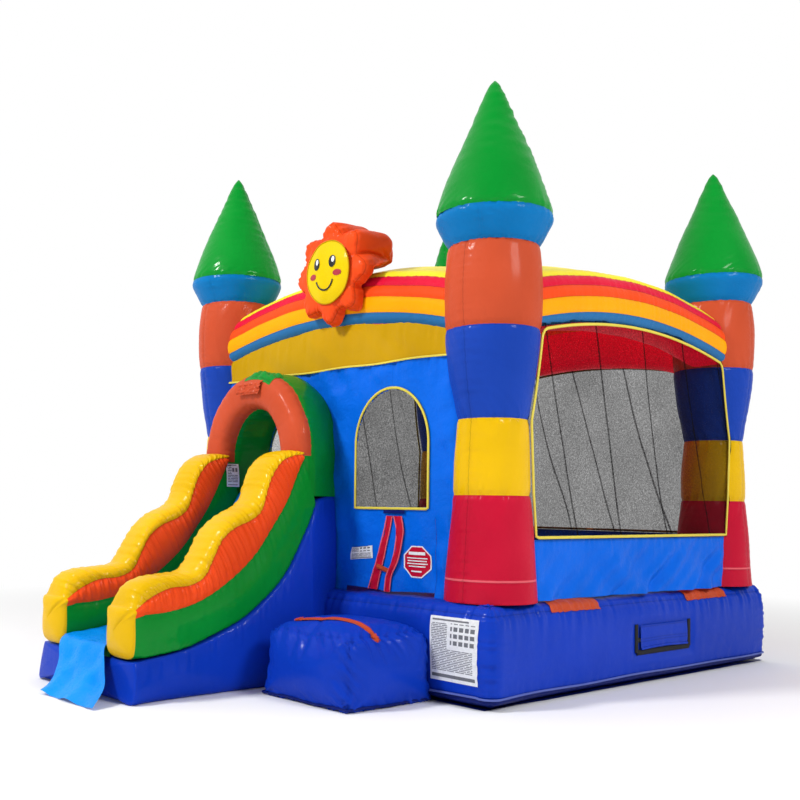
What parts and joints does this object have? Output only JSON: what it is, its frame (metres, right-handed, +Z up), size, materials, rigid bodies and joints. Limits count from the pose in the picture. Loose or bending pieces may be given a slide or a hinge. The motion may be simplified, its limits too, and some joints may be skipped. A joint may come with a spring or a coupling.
{
  "type": "inflatable bounce house",
  "caption": "Inflatable bounce house with cone-topped corner towers, arched net windows, a split walk-in door, an entry step and a curved slide with a slip cover.",
  "frame": {"origin": "middle of the house's square plan, on the ground under the ground sheet", "axes": "+Z up; +Y towards the back wall, with the blower sleeve; -Y towards the front wall, with the slide and the door; +X towards the side with the deflation vent"},
  "size_m": [3.488, 5.922, 3.93],
  "materials": {
    "vinyl_blue": "semi-gloss coated vinyl",
    "vinyl_navy": "semi-gloss coated vinyl",
    "vinyl_sky_blue": "semi-gloss coated vinyl",
    "vinyl_red": "semi-gloss coated vinyl",
    "vinyl_teal_blue": "semi-gloss coated vinyl",
    "vinyl_green": "semi-gloss coated vinyl",
    "vinyl_orange": "semi-gloss coated vinyl",
    "vinyl_scarlet": "semi-gloss coated vinyl",
    "vinyl_yellow": "semi-gloss coated vinyl",
    "vinyl_cyan": "glossy slick vinyl",
    "netting": "open woven safety net",
    "hook_tape": "matte hook tape",
    "label_fabric": "matte printed fabric, blank",
    "ring_steel": "brushed"
  },
  "bodies": {
    "house": {"base_chamber": "vinyl_blue", "ground_sheet": "vinyl_navy", "jump_floor": "vinyl_sky_blue", "tower_front_left_shaft": "vinyl_red", "tower_front_left_collar": "vinyl_teal_blue", "tower_front_left_cone": "vinyl_green", "tower_front_right_shaft": "vinyl_red", "tower_front_right_collar": "vinyl_teal_blue", "tower_front_right_cone": "vinyl_green", "tower_back_right_shaft": "vinyl_red", "tower_back_right_collar": "vinyl_teal_blue", "tower_back_right_cone": "vinyl_green", "tower_back_left_shaft": "vinyl_red", "tower_back_left_collar": "vinyl_teal_blue", "tower_back_left_cone": "vinyl_green", "arch_beam_front": "vinyl_orange", "arch_beam_right": "vinyl_orange", "arch_beam_back": "vinyl_orange", "arch_beam_left": "vinyl_orange", "roof_panel": "vinyl_red", "wall_skirt_right": "vinyl_sky_blue", "window_trim_right": "vinyl_yellow", "window_net_right": "netting", "wall_skirt_back": "vinyl_sky_blue", "window_trim_back": "vinyl_yellow", "window_net_back": "netting", "wall_skirt_left": "vinyl_sky_blue", "window_trim_left": "vinyl_yellow", "window_net_left": "netting", "front_panel_yellow": "vinyl_yellow", "front_panel_blue": "vinyl_sky_blue", "window_trim_front": "vinyl_yellow", "window_net_front": "netting", "slide_base": "vinyl_blue", "slide_wall_left": "vinyl_green", "slide_bumper_left": "vinyl_yellow", "slide_wall_right": "vinyl_green", "slide_bumper_right": "vinyl_yellow", "slide_bed": "vinyl_green", "slip_cover": "vinyl_cyan", "slide_arch_tunnel": "vinyl_green", "slide_arch_front": "vinyl_orange", "climb_ramp": "vinyl_blue", "entry_step": "vinyl_blue", "step_strap": "vinyl_orange", "sun_rays": "vinyl_scarlet", "sun_face": "vinyl_yellow", "vent_hook_tape": "hook_tape", "inflation_sleeve": "vinyl_blue", "anchor_tab_left": "vinyl_blue", "anchor_tab_right": "vinyl_blue", "blank_label": "label_fabric"},
    "door_left": {"door_flap_left": "vinyl_sky_blue"},
    "door_right": {"door_flap_right": "vinyl_sky_blue"},
    "apron": {"slip_cover_apron": "vinyl_cyan"},
    "vent_cover": {"vent_flap": "vinyl_blue"},
    "zip_slider": {"vent_zip_slider": "ring_steel"},
    "arch_cover": {"arch_vent_flap": "vinyl_orange"},
    "ring_left": {"anchor_ring_left": "ring_steel"},
    "ring_right": {"anchor_ring_right": "ring_steel"}
  },
  "joints": [
    {"name": "door_left_swing", "type": "hinge", "parent": "house", "child": "door_left", "pos_m": [0.269, -1.57, 0.9], "axis": [0, 0, 1], "range_deg": [-75, 75]},
    {"name": "door_right_swing", "type": "hinge", "parent": "house", "child": "door_right", "pos_m": [1.078, -1.57, 0.9], "axis": [0, 0, 1], "range_deg": [-75, 75]},
    {"name": "apron_lift", "type": "hinge", "parent": "house", "child": "apron", "pos_m": [-0.335, -3.291, 0.315], "axis": [1, 0, 0], "range_deg": [-100, 0]},
    {"name": "vent_flap_lift", "type": "hinge", "parent": "house", "child": "vent_cover", "pos_m": [1.6505, 0.198, 0.398], "axis": [0, 1, 0], "range_deg": [-150, 0]},
    {"name": "zip_travel", "type": "slide", "parent": "house", "child": "zip_slider", "axis": [0, 1, 0], "range_m": [0, 0.48]},
    {"name": "arch_flap_lift", "type": "hinge", "parent": "house", "child": "arch_cover", "pos_m": [-0.335, -2.0035, 2.083], "axis": [1, 0, 0], "range_deg": [-150, 0]},
    {"name": "ring_left_swing", "type": "hinge", "parent": "house", "child": "ring_left", "pos_m": [-1.15, 1.7485, 0.21], "axis": [1, 0, 0], "range_deg": [0, 110]},
    {"name": "ring_right_swing", "type": "hinge", "parent": "house", "child": "ring_right", "pos_m": [1.15, 1.7485, 0.21], "axis": [1, 0, 0], "range_deg": [0, 110]}
  ]
}
